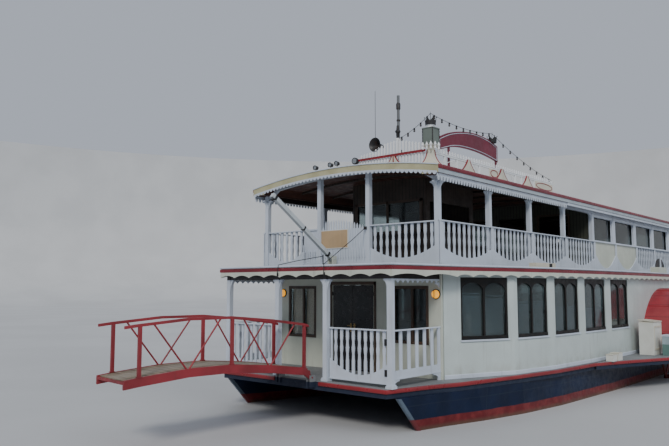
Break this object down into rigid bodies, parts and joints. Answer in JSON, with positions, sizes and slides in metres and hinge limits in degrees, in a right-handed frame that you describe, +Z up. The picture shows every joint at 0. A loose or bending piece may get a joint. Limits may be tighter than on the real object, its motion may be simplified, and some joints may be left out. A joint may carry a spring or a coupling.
{
  "type": "paddle steamer",
  "caption": "Twin-hulled side-wheel paddle steamer with a closed lower saloon, an open promenade deck under a cambered roof, and a hinged bow gangway.",
  "frame": {"origin": "on the centreline at the waterline, below the front edge of the main deck", "axes": "+X to the bow, +Y to port, +Z up"},
  "size_m": [30.6615, 10.1, 8.65],
  "materials": {
    "hull_paint": "navy gloss paint on steel plate",
    "deck_paint": "grey non-slip deck paint",
    "white_paint": "white gloss paint",
    "cream_paint": "cream gloss paint",
    "red_paint": "dark red gloss paint",
    "dark_paint": "near black satin paint",
    "window_glass": "tinted window glass",
    "engine_steel": "bare and painted machinery steel"
  },
  "bodies": {
    "boat": {"hull_port": "hull_paint", "hull_stbd": "hull_paint", "main_deck": "deck_paint", "guard_port": "deck_paint", "guard_stbd": "deck_paint", "lower_wall_port": "cream_paint", "lower_wall_stbd": "cream_paint", "front_wall": "cream_paint", "stern_wall": "cream_paint", "lower_glass_fore_port": "window_glass", "lower_glass_fore_stbd": "window_glass", "lower_glass_aft_port": "window_glass", "lower_glass_aft_stbd": "window_glass", "front_glass_port": "window_glass", "front_glass_stbd": "window_glass", "stern_glass_port": "window_glass", "stern_glass_stbd": "window_glass", "promenade_deck": "white_paint", "fore_colonnade": "white_paint", "fore_rail_stbd": "white_paint", "fore_side_rail_port": "white_paint", "fore_side_rail_stbd": "white_paint", "roof": "cream_paint", "upper_posts_port": "white_paint", "upper_posts_stbd": "white_paint", "upper_rail_port": "white_paint", "upper_rail_stbd": "white_paint", "upper_front": "white_paint", "upper_stern": "white_paint", "upper_glass_port": "window_glass", "upper_glass_stbd": "window_glass", "lounge_wall_fore": "cream_paint", "lounge_wall_aft": "cream_paint", "wheelhouse": "cream_paint", "paddle_box_port": "red_paint", "paddle_box_stbd": "red_paint", "engine": "engine_steel", "stern_colonnade": "white_paint", "stern_rail": "white_paint", "mast": "engine_steel", "roof_crest": "white_paint", "sign_board": "red_paint"},
    "paddle_wheel_port": {"paddle_wheel_port": "red_paint", "paddle_floats_port": "red_paint"},
    "paddle_wheel_stbd": {"paddle_wheel_stbd": "red_paint", "paddle_floats_stbd": "red_paint"},
    "rudder_port": {"rudder_port": "hull_paint"},
    "rudder_stbd": {"rudder_stbd": "hull_paint"},
    "gangway": {"gangway": "red_paint"},
    "gangway_boom": {"gangway_boom": "white_paint"},
    "fore_gate": {"fore_gate": "white_paint"},
    "front_door_port": {"front_door_port": "dark_paint"},
    "front_door_stbd": {"front_door_stbd": "dark_paint"},
    "stern_door_port": {"stern_door_port": "dark_paint"},
    "stern_door_stbd": {"stern_door_stbd": "dark_paint"},
    "wheelhouse_door": {"wheelhouse_door": "white_paint"}
  },
  "joints": [
    {"name": "paddle_shaft_port", "type": "hinge", "parent": "boat", "child": "paddle_wheel_port", "pos_m": [-13.47, 4.3, 1], "axis": [0, 1, 0], "continuous": true},
    {"name": "paddle_shaft_stbd", "type": "hinge", "parent": "boat", "child": "paddle_wheel_stbd", "pos_m": [-13.47, -4.3, 1], "axis": [0, 1, 0], "continuous": true},
    {"name": "rudder_stock_port", "type": "hinge", "parent": "boat", "child": "rudder_port", "pos_m": [-25.75, 2.55, 0.9], "axis": [0, 0, 1], "range_deg": [-35, 35]},
    {"name": "rudder_stock_stbd", "type": "hinge", "parent": "boat", "child": "rudder_stbd", "pos_m": [-25.75, -2.55, 0.9], "axis": [0, 0, 1], "range_deg": [-35, 35]},
    {"name": "gangway_hinge", "type": "hinge", "parent": "boat", "child": "gangway", "pos_m": [0.04, -0.03, 0.96], "axis": [-0.0929, -0.9957, 0], "range_deg": [-8, 45]},
    {"name": "boom_heel", "type": "hinge", "parent": "boat", "child": "gangway_boom", "pos_m": [-1.375, -0.2, 3.495], "axis": [0, 1, 0], "range_deg": [-25, 25]},
    {"name": "fore_gate_hinge", "type": "hinge", "parent": "boat", "child": "fore_gate", "pos_m": [-0.2153, 2.346, 1.45], "axis": [0, 0, -1], "range_deg": [0, 90]},
    {"name": "front_door_hinge_port", "type": "hinge", "parent": "boat", "child": "front_door_port", "pos_m": [-1.8777, 0.621, 1.9], "axis": [0, 0, 1], "range_deg": [0, 100]},
    {"name": "front_door_hinge_stbd", "type": "hinge", "parent": "boat", "child": "front_door_stbd", "pos_m": [-1.8777, -0.621, 1.9], "axis": [0, 0, -1], "range_deg": [0, 100]},
    {"name": "stern_door_hinge_port", "type": "hinge", "parent": "boat", "child": "stern_door_port", "pos_m": [-23.0723, 0.621, 1.9], "axis": [0, 0, -1], "range_deg": [0, 100]},
    {"name": "stern_door_hinge_stbd", "type": "hinge", "parent": "boat", "child": "stern_door_stbd", "pos_m": [-23.0723, -0.621, 1.9], "axis": [0, 0, 1], "range_deg": [0, 100]},
    {"name": "wheelhouse_door_hinge", "type": "hinge", "parent": "boat", "child": "wheelhouse_door", "pos_m": [-5.6103, -1.001, 4.2], "axis": [0, 0, 1], "range_deg": [0, 95]}
  ]
}
